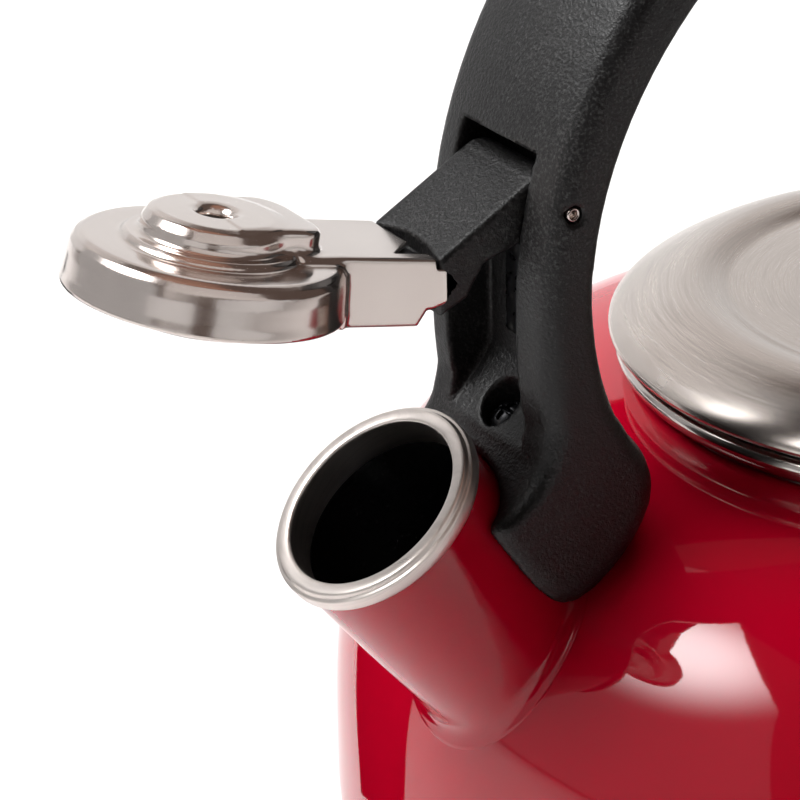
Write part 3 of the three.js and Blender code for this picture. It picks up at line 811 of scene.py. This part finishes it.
def grip_screw_place(angle):
    t = angle * DEG
    normal = np.array([math.cos(t) / INNER_REACH[0], 0, math.sin(t) / INNER_REACH[1]])
    normal /= np.linalg.norm(normal)
    foot = np.array([INNER_REACH[0] * math.cos(t), 0, SPRING_Z + INNER_REACH[1] * math.sin(t)])
    return foot, normal


def foot_screw_place(side):
    lean = side * FOOT_SCREW_LEAN
    foot = np.array([side * FOOT_SCREW_X, 0.0, FOOT_SCREW_Z])
    return foot, np.array([math.sin(lean), 0.0, math.cos(lean)])


FOOT_EDGE = [tuple(point) for point in soften([
    (-89.3, 170), (-88.6, 156), (-84.6, 144.4), (-77.9, 131.4), (-82.4, 121.5), (-93.4, 113.8),
    (-101.5, 120.8), (-108.4, 131), (-112, 150), (-140, 200), (-140, 290),
], 2)]
FOOT_SIDE = FOOT_EDGE + [(-x, z) for x, z in FOOT_EDGE[::-1]] + [(60, 200), (-60, 200)]
CAVITY = grip_strip(GRIP_ROOF, (OUTER_REACH[0] - GRIP_WALL, OUTER_REACH[1] - GRIP_WALL), 0)


def handle_field(x, y, z):
    flat = outline_distance(HANDLE_OUTLINE, x, z)
    depth = -outline_distance(OUTER_FACE, x, z)
    above_foot = np.clip((z - CROWN_FROM_Z) / CROWN_RISE, 0, 1)
    bulge = 1 - (y / HANDLE_HALF) ** 2
    flat = flat - CROWN * np.clip(1 - depth / CROWN_DEPTH, 0, 1) * above_foot * bulge
    in_foot = np.clip((CROWN_FROM_Z - z) / FOOT_EDGE_FADE, 0, 1)
    f = slab(flat, y, HANDLE_HALF, EDGE_ROUND - (EDGE_ROUND - FOOT_EDGE_ROUND) * in_foot)
    fade = np.clip((FOOT_CROWN_FROM - z) / (FOOT_CROWN_FROM - FOOT_CROWN_FULL), 0, 1)
    swell = FOOT_CROWN * fade * fade * (3 - 2 * fade) * bulge
    foot = slab(outline_distance(FOOT_SIDE, x, z) - swell, y, HANDLE_HALF, FOOT_SIDE_ROUND)
    f = cut(f, -foot, 0.6)
    f = cut(f, body_distance(x, y, z), 0.8)
    mouth = rod_distance(x, y, z, MOUTH, -SPOUT_AXIS, SPOUT_RADIUS + 0.3, -5, 60)
    f = cut(f, mouth, 1.0)
    slot = np.maximum(outline_distance(SLOT_OUTLINE, x, z), np.abs(y) - SLOT_HALF)
    f = cut(f, slot, 0.25)
    f = cut(f, np.hypot(x - PIVOT[0], z - PIVOT[2]) - PIN_HOLE_RADIUS, 0.3)
    cavity = np.maximum(outline_distance(CAVITY, x, z), np.abs(y) - CAVITY_HALF)
    f = cut(f, cavity, 0.5)
    for side in (-1, 1):
        base, direction = foot_screw_place(side)
        f = cut(f, rod_distance(x, y, z, base, direction, FOOT_WELL_RADIUS, -3, 26), 0.35)
    return f


def handle_piece():
    low, high = (-110.5, -19.5, 104.0), (105.5, 19.5, 256.0)
    obj = field_mesh("handle_arch_nylon", handle_field, low, high, HANDLE_CELL, [NYLON])
    finish_piece(obj, "kettle", "handle_shell")


def cover_piece():
    outer = (INNER_REACH[0] + COVER_THICK, INNER_REACH[1] + COVER_THICK)
    outline = grip_strip(INNER_REACH, outer, 1.6)

    def field(x, y, z):
        f = slab(outline_distance(outline, x, z), y, CAVITY_HALF - 0.3, 0.5)
        for angle in GRIP_ANGLES:
            foot, normal = grip_screw_place(angle)
            f = cut(f, rod_distance(x, y, z, foot, normal, 3.1, -4, 1.4), 0.2)
        return f

    obj = field_mesh("handle_inner_strip", field, (-88, -16, 196), (88, 16, 243), 0.8, [NYLON])
    finish_piece(obj, "kettle", "handle_inner_cover")


SCREW_CELL = 0.22
CROSS_HALF = 0.42
CROSS_REACH = 0.62
CROSS_DEPTH = 1.5
CROSS_TAPER = 0.18


def screw_mesh(name, head, height, shank, length, foot, direction):
    """A domed screw with a cross recess; its head faces along the direction."""
    ball = (head * head + height * height) / (2 * height)

    def field(x, y, z):
        r = np.hypot(x, y)
        dome = np.sqrt(r * r + (z - height + ball) ** 2) - ball
        f = np.maximum(np.maximum(dome, r - head), -z)
        stem = np.maximum(r - shank, np.maximum(z - 0.2, -length - z))
        f = join(f, stem)
        taper = CROSS_TAPER * (height - z)
        half, arm = CROSS_HALF - 0.3 * taper, CROSS_REACH * head - taper
        arm_a = np.maximum(np.abs(x) - half, np.abs(y) - arm)
        arm_b = np.maximum(np.abs(y) - half, np.abs(x) - arm)
        cross = np.maximum(np.minimum(arm_a, arm_b), height - CROSS_DEPTH - z)
        return cut(f, cross, 0.15)

    side = np.array([0.0, 1.0, 0.0])
    up = np.cross(side, direction)

    def place(p):
        return foot + p[:, :1] * up + p[:, 1:2] * side + p[:, 2:] * direction

    reach = head + 0.6
    low, high = (-reach, -reach, -length - 0.5), (reach, reach, height + 0.5)
    return field_mesh(name, field, low, high, SCREW_CELL, [BLACK_STEEL], place)


def screws():
    for i, angle in enumerate(GRIP_ANGLES):
        foot, normal = grip_screw_place(angle)
        seat = foot + 1.1 * normal
        obj = screw_mesh(f"grip_screw_head_{i + 1}", 2.6, 1.2, 1.3, 6.0, seat, -normal)
        finish_piece(obj, "kettle", f"grip_screw_{i + 1}")
    for side, node in ((-1, "front_foot_screw"), (1, "rear_foot_screw")):
        foot, direction = foot_screw_place(side)
        seat = foot - 2.7 * direction
        obj = screw_mesh(f"{node}_head", 3.6, 2.6, 2.0, 19.5, seat, direction)
        finish_piece(obj, "kettle", node)


def pin_piece():
    """A rolled pin: a short tube whose open ends show in the cheeks of the handle."""
    half = PIN_HALF
    curve = soften([
        (0.62, -half + 1.6), (0.62, -half + 0.35), (0.8, -half), (1.02, -half), (1.2, -half + 0.3), (1.2, 0),
        (1.2, half - 0.3), (1.02, half), (0.8, half), (0.62, half - 0.35), (0.62, half - 1.6),
    ], 2)
    section = np.vstack([[(0, -half + 1.6)], curve, [(0, half - 1.6)]])

    def place(p):
        return PIVOT + np.stack([p[:, 0], p[:, 2], -p[:, 1]], 1)

    obj = revolve("pivot_pin_steel", section, [POLISHED], 48, place)
    finish_piece(obj, "kettle", "pivot_pin")


def spring_piece():
    """A flat strip with rounded long edges and a slight bow."""
    x, low, high = (SPRING_LOW[0] + SPRING_HIGH[0]) / 2, SPRING_LOW[2], SPRING_HIGH[2]
    half, thick, bow = SPRING_HIGH[1], 0.22, 0.06
    ring = [
        (-thick, -half + 0.2), (-thick, half - 0.2), (-0.1, half), (0.1, half), (thick, half - 0.2),
        (thick, -half + 0.2), (0.1, -half), (-0.1, -half),
    ]
    count, across = 40, len(ring)
    rows = []
    for part in np.linspace(0, 1, count):
        middle = x - bow * math.sin(math.pi * part)
        rows.append([(middle + dx, y, low + (high - low) * part) for dx, y in ring])
    verts = np.array(rows).reshape(-1, 3)
    faces = grid_faces(count, across)
    faces.append(tuple(reversed(range(across))))
    faces.append(tuple(range((count - 1) * across, count * across)))
    obj = add_mesh("lever_spring_strip", verts, [tuple(reversed(f)) for f in faces], [BLACK_STEEL])
    finish_piece(obj, "kettle", "lever_detent_spring")


handle_piece()
cover_piece()
screws()
pin_piece()
spring_piece()


# ---------------------------------------------------------------- whistle
def turned_distance(profile, x, y, z):
    return outline_distance(profile, np.hypot(x, y), z)


def box_distance(x, y, z, low, high):
    middle = [(a + b) / 2 for a, b in zip(low, high)]
    half = [(b - a) / 2 for a, b in zip(low, high)]
    d = [np.abs(v - m) - h for v, m, h in zip((x, y, z), middle, half)]
    return np.maximum(np.maximum(d[0], d[1]), d[2])


ARM_OUTLINE = [
    (10, -2.3), (10, 9.0), (17, 9.0), (33.9, 8.6), (34.4, 7.5), (37.2, 7.1), (39.5, 4.8), (37.5, 1.4),
    (35.0, 0.4), (33.9, 0.3), (32.6, -2.3),
]
PLATE_CUT = [(28.1, -6.9), (37.6, 2.6), (37.6, 12), (48, 12), (48, -12), (34.2, -12), (34.2, -6.9)]
ARM_BOTTOM = -2.3
ARM_FROM = 16.5
NECK_HALF = 8.7
NECK_END = 15.4
NECK_CORNER = 5.0
NECK_TOP = 12.9
NECK_FALL = 0.012
NECK_FALL_FROM = 8.0
CAP_CELL = 0.33
LEVER_CELL = 0.4
TONGUE_HALF = 8.6
PIN_BORE_RADIUS = 1.45


def pressing(x, y, z, inset):
    """The cap's pressed form as a filled solid, every wall moved in by an inset."""
    skirt = CAP_RADIUS - inset
    top = CAP_HEIGHT - inset
    disc = turned_distance([
        (-1, -9), (skirt, -9), (skirt, 0), (skirt - 0.3, 1.8), (skirt - 0.6, 4.8), (skirt - 0.9, 6.4),
        (skirt - 1.5, top - 0.7), (skirt - 2.5, top - 0.1), (skirt - 4.2, top), (-1, top + 0.2),
    ], x, y, z)
    lower = turned_distance([
        (-1, 0), (13.3 - inset, 0), (13.3 - inset, 8.6 - inset), (12.7 - inset, 9.1 - inset),
        (-1, 9.3 - inset),
    ], x, y, z)
    upper = turned_distance([
        (-1, 0), (10.9 - inset, 0), (10.7 - inset, 11.2 - inset), (9.9 - inset, 12.5 - inset),
        (8.8 - inset, 13.0 - inset), (-1, 13.3 - inset),
    ], x, y, z)
    drop = z + NECK_FALL * np.maximum(x - NECK_FALL_FROM, 0) ** 2
    past_end = x - NECK_END + NECK_CORNER
    past_side = np.abs(y) - NECK_HALF + NECK_CORNER
    plan = np.hypot(np.maximum(past_end, 0), np.maximum(past_side, 0)) - NECK_CORNER
    plan = plan + np.minimum(np.maximum(past_end, past_side), 0) + inset
    neck = np.maximum(cut(plan, NECK_TOP - inset - drop, 1.2), -x)
    upper = join(upper, neck, 1.2)
    arm = slab(outline_distance(ARM_OUTLINE, x, z) + inset, y, ARM_HALF - inset, 0.7)
    f = join(disc, lower, 0.9)
    f = join(f, arm, 1.2)
    return join(f, upper, 1.3)


def cap_field(x, y, z):
    outer = pressing(x, y, z, 0.0)
    inner = pressing(x, y, z, CAP_SKIN)
    clear_half = ARM_HALF - CAP_SKIN
    inner = join(inner, box_distance(x, y, z, (33, -clear_half, -9), (50, clear_half, 8)))
    inner = join(inner, box_distance(x, y, z, (18.2, -clear_half, -9), (42, clear_half, 1)))
    f = np.maximum(outer, -inner)
    reach = np.hypot(x, y)
    skirt_floor = np.where(reach < CAP_RADIUS + 0.3, 0.0, ARM_BOTTOM)
    arm_zone = (x > ARM_FROM) & (np.abs(y) < ARM_HALF + 0.4)
    f = cut(f, z - np.where(arm_zone, ARM_BOTTOM, skirt_floor), 0.4)
    notch = np.maximum(outline_distance(PLATE_CUT, x, y), 7.0 - z)
    f = cut(f, notch, 0.15)
    eyelet = turned_distance([
        (-1, 9), (2.5, 9), (2.5, 11.8), (2.8, 12.6), (3.5, 13.1), (4.1, 13.5), (-1, 15),
    ], x, y, z)
    tube = np.maximum(np.abs(reach - 2.85) - 0.4, np.maximum(10.4 - z, z - 12.6))
    f = join(f, tube, 0.3)
    return cut(f, eyelet, 0.4)


def cap_piece():
    low, high = (-22.4, -22.4, -3.2), (41, 22.4, 14.4)
    obj = field_mesh("whistle_cap_pressing", cap_field, low, high, CAP_CELL, [POLISHED], from_cap)
    finish_piece(obj, "whistle", "whistle_cap")


def cup_pieces():
    curve = soften([
        (2.2, -3.3), (9, -3.3), (11.9, -3.25), (12.9, -2.6), (13.0, -1.2), (13.0, 1.1), (13.4, 2.1),
        (15, 2.3), (19.3, 2.35),
    ], 3)
    cup = revolve("whistle_cup_steel", sheet(curve[::-1], 0.6), [SATIN_STEEL], 128, from_cap)
    finish_piece(cup, "whistle", "whistle_cup")
    disc = soften([
        (2.0, 5.2), (6, 5.2), (11.2, 5.2), (11.4, 5.5), (11.2, 5.9), (6, 5.9), (2.0, 5.9),
    ], 2, True)
    plate = revolve("whistle_plate_steel", disc, [SATIN_STEEL], 96, from_cap)
    finish_piece(plate, "whistle", "whistle_plate")


LEVER_HUB = 4.35


def lever_outline():
    t = np.linspace(128, -100, 30) * DEG
    points = [(LEVER_HUB * math.cos(a), LEVER_HUB * math.sin(a)) for a in t]
    return points + [(-4.9, -6.3), (-8, -7.3), (-11, -8.1), (-14.2, -13), (-19, -15), (-19, -5.6)]


LEVER_OUTLINE = lever_outline()
TONGUE_OUTLINE = [
    (23.5, -1.2), (23.5, 7.7), (33.2, 7.5), (36.6, 6.2), (38.8, 4.7), (36.9, 2.2), (34.3, 1.2), (33, -1.2),
]
LEVER_END_CURVE = 24.8


def lever_field(x, y, z):
    body = slab(outline_distance(LEVER_OUTLINE, x - PIVOT[0], z - PIVOT[2]), y, ARM_HALF, 0.9)
    scoop_x = x - (PIVOT[0] - 17.6) + LEVER_END_CURVE
    scoop = np.maximum(np.hypot(scoop_x, y) - LEVER_END_CURVE, PIVOT[2] - 9.4 - z)
    body = cut(body, scoop, 0.5)
    c, s = math.cos(CAP_TILT), math.sin(CAP_TILT)
    dx, dz = x - CAP_ORIGIN[0], z - CAP_ORIGIN[2]
    u, w = dx * c - dz * s, dx * s + dz * c
    tongue = slab(outline_distance(TONGUE_OUTLINE, u, w), y, TONGUE_HALF, 0.6)
    f = join(body, tongue, 0.8)
    pin = np.hypot(x - PIVOT[0], z - PIVOT[2]) - PIN_BORE_RADIUS
    return np.maximum(f, -pin)


def lever_piece():
    low = PIVOT + np.array([-33.0, -10.6, -19.0])
    high = PIVOT + np.array([5.4, 10.6, 5.4])
    obj = field_mesh("whistle_lever_nylon", lever_field, low, high, LEVER_CELL, [NYLON])
    finish_piece(obj, "whistle", "whistle_lever")


cap_piece()
cup_pieces()
lever_piece()

# These nodes keep their CAD shape and take a better material.
for node in ("front_foot_bracket", "rear_foot_bracket", "knob_screw"):
    mesh = frame["nodes"][node].data
    mesh.materials.clear()
    mesh.materials.append(SATIN_STEEL)


# ---------------------------------------------------------------- floor, light and camera
FLOOR_REACH = 6.0


def studio():
    floor_mesh = bpy.data.meshes.new("studio_floor")
    reach = FLOOR_REACH
    corners = [(-reach, -reach, 0), (reach, -reach, 0), (reach, reach, 0), (-reach, reach, 0)]
    floor_mesh.from_pydata(corners, [], [(0, 1, 2, 3)])
    floor_mesh.materials.append(pale_floor())
    floor = bpy.data.objects.new("studio_floor", floor_mesh)
    bpy.context.scene.collection.objects.link(floor)


def light_card(name, corners, base, hot, hot_at, hot_size, color=(1, 1, 1), only=None):
    """A stage card that glows evenly, with one soft brighter patch; it may light a few pieces only."""
    mesh = bpy.data.meshes.new(name)
    mesh.from_pydata([tuple(c) for c in corners], [], [(0, 1, 2, 3)])
    material = bpy.data.materials.new(name)
    material.use_nodes = True
    tree = material.node_tree
    tree.nodes.clear()
    out = tree.nodes.new("ShaderNodeOutputMaterial")
    glow = tree.nodes.new("ShaderNodeEmission")
    glow.inputs["Color"].default_value = (*color, 1)
    place = tree.nodes.new("ShaderNodeTexCoord")
    away = tree.nodes.new("ShaderNodeVectorMath")
    away.operation = "DISTANCE"
    away.inputs[1].default_value = hot_at
    fall = tree.nodes.new("ShaderNodeMapRange")
    fall.interpolation_type = "SMOOTHERSTEP"
    for key, value in (("From Min", 0.0), ("From Max", hot_size), ("To Min", hot), ("To Max", base)):
        fall.inputs[key].default_value = value
    tree.links.new(place.outputs["Object"], away.inputs[0])
    tree.links.new(away.outputs["Value"], fall.inputs["Value"])
    tree.links.new(fall.outputs["Result"], glow.inputs["Strength"])
    tree.links.new(glow.outputs[0], out.inputs["Surface"])
    mesh.materials.append(material)
    card = bpy.data.objects.new(name, mesh)
    bpy.context.scene.collection.objects.link(card)
    card.visible_camera = False
    if only is not None:
        card.visible_diffuse = False
        card.visible_shadow = False
        card.light_linking.receiver_collection = only
    return card


def area_light(name, position, target, size, power):
    data = bpy.data.lights.new(name, "AREA")
    data.shape = "RECTANGLE"
    data.size, data.size_y = size
    data.energy = power
    light = bpy.data.objects.new(name, data)
    light.location = position
    light.rotation_euler = (Vector(target) - Vector(position)).to_track_quat("-Z", "Y").to_euler()
    light.visible_camera = False
    bpy.context.scene.collection.objects.link(light)
    return light


studio()
# Soft light from the left, a pale wall behind, and a black card on the floor that only reflections see:
# painted shade that the body reflects.
SOFTBOX = [
    (-0.8801, -0.1755, 1.1739), (-0.1105, 0.7709, 1.6705),
    (-1.0023, 1.8265, 0.026), (-2.1307, -0.9815, 0.026),
]
light_card("left_softbox", SOFTBOX, 0.45, 17.0, (-0.6942, 0.3042, 1.1661), 0.62)
WALL = [(-0.9, 2.2, 0.0), (2.9, 0.9, 0.0), (2.9, 0.9, 1.1), (-0.9, 2.2, 1.1)]
light_card("back_card", WALL, 0.8, 0.95, (0.6, 1.6, 0.6), 1.4)
# Painted dark reflection: a black card that only glossy rays see, standing in for the shaded floor mirrored
# in the body.
REFLECTED_SHADE_CARD = [(-0.11, 0.12, 0.003), (-0.13, 0.75, 0.003), (-0.52, 0.64, 0.003), (-0.155, 0.105, 0.003)]
reflected_shade_card = light_card("dark_flag", REFLECTED_SHADE_CARD, 0, 0, (0, 0, 0), 1)
reflected_shade_card.visible_diffuse = False
reflected_shade_card.visible_shadow = False
wash = area_light("back_wash", (0.6, 1.9, 1.6), (-0.3, 1.2, 0), (2.4, 1.2), 75)
wash.visible_glossy = False

# Cards that only the bright steel reflects.
bright_work = bpy.data.collections.new("bright_work")
for piece in ("whistle_cap_pressing", "lid_brushed_steel", "mouth_collar_steel", "spout_rolled_rim"):
    bright_work.objects.link(bpy.data.objects[piece])
LEFT_LOW = [(-1.5, -0.4, 0), (-1.0, -1.18, 0), (-1.0, -1.18, 0.42), (-1.5, -0.4, 0.42)]
light_card("front_left_card", LEFT_LOW, 0.62, 0.72, (-1.2, -0.8, 0.2), 0.8, (1, 1, 1), bright_work)
RIGHT_LOW = [(-0.62, -1.35, 0), (1.2, -1.2, 0), (1.2, -1.2, 0.42), (-0.62, -1.35, 0.42)]
light_card("front_right_card", RIGHT_LOW, 0.62, 0.72, (0.2, -1.3, 0.2), 0.8, (1, 1, 1), bright_work)
BACK = [(-0.9, 2.2, 1.12), (2.9, 0.9, 1.12), (2.7, 0.8, 2.6), (-0.8, 2.0, 2.6)]
light_card("back_high_card", BACK, 0.6, 0.85, (0.6, 1.6, 1.1), 1.6, (1.0, 0.97, 0.95), bright_work)
FRONT = [(-1.25, -0.62, 0.44), (0.9, -1.5, 0.44), (0.6, -1.0, 1.75), (-0.8, -0.4, 1.75)]
light_card("front_high_card", FRONT, 0.62, 0.7, (-0.2, -1.0, 0.6), 1.2, (1.0, 0.95, 0.92), bright_work)
OVERHEAD = [(-0.8, -0.38, 1.8), (0.6, -0.98, 1.8), (0.72, 0.9, 2.3), (-0.6, 0.9, 2.3)]
light_card("overhead_brown_card", OVERHEAD, 0.25, 0.4, (0, 0, 1.8), 1.2, (1.0, 0.55, 0.4), bright_work)

world = bpy.data.worlds.new("studio_air")
world.use_nodes = True
sky = world.node_tree.nodes["Background"]
sky.inputs["Color"].default_value = (0.95, 0.70, 0.60, 1)
sky.inputs["Strength"].default_value = 0.12
bpy.context.scene.world = world

# The view: above the spout's side, looking down at the lid, cap and front leg of the handle.
CAMERA_AZIMUTH = -31.117 * DEG
CAMERA_ELEVATION = 25.109 * DEG
CAMERA_ROLL = -1.213 * DEG
CAMERA_DISTANCE = 0.5
CAMERA_LENS = 144.16
AIM_FROM_PIVOT = Vector((-20.796, 0.0, -32.069)) * MM


def aim_camera():
    back = Vector((
        math.sin(CAMERA_AZIMUTH) * math.cos(CAMERA_ELEVATION),
        -math.cos(CAMERA_AZIMUTH) * math.cos(CAMERA_ELEVATION),
        math.sin(CAMERA_ELEVATION),
    ))
    level = Vector((math.cos(CAMERA_AZIMUTH), math.sin(CAMERA_AZIMUTH), 0))
    above = back.cross(level)
    c, s = math.cos(CAMERA_ROLL), math.sin(CAMERA_ROLL)
    right = c * level + s * above
    up = -s * level + c * above
    place = Vector(PIVOT * MM) + AIM_FROM_PIVOT + CAMERA_DISTANCE * back
    data = bpy.data.cameras.new("camera")
    data.lens = CAMERA_LENS
    data.sensor_width = 36
    data.clip_start = 0.01
    camera = bpy.data.objects.new("camera", data)
    turn = Matrix((right, up, back)).transposed().to_4x4()
    camera.matrix_world = Matrix.Translation(place) @ turn
    bpy.context.scene.collection.objects.link(camera)
    bpy.context.scene.camera = camera


aim_camera()
view = bpy.context.scene.view_settings
view.view_transform = "Standard"
view.look = "None"
view.exposure = 0.0
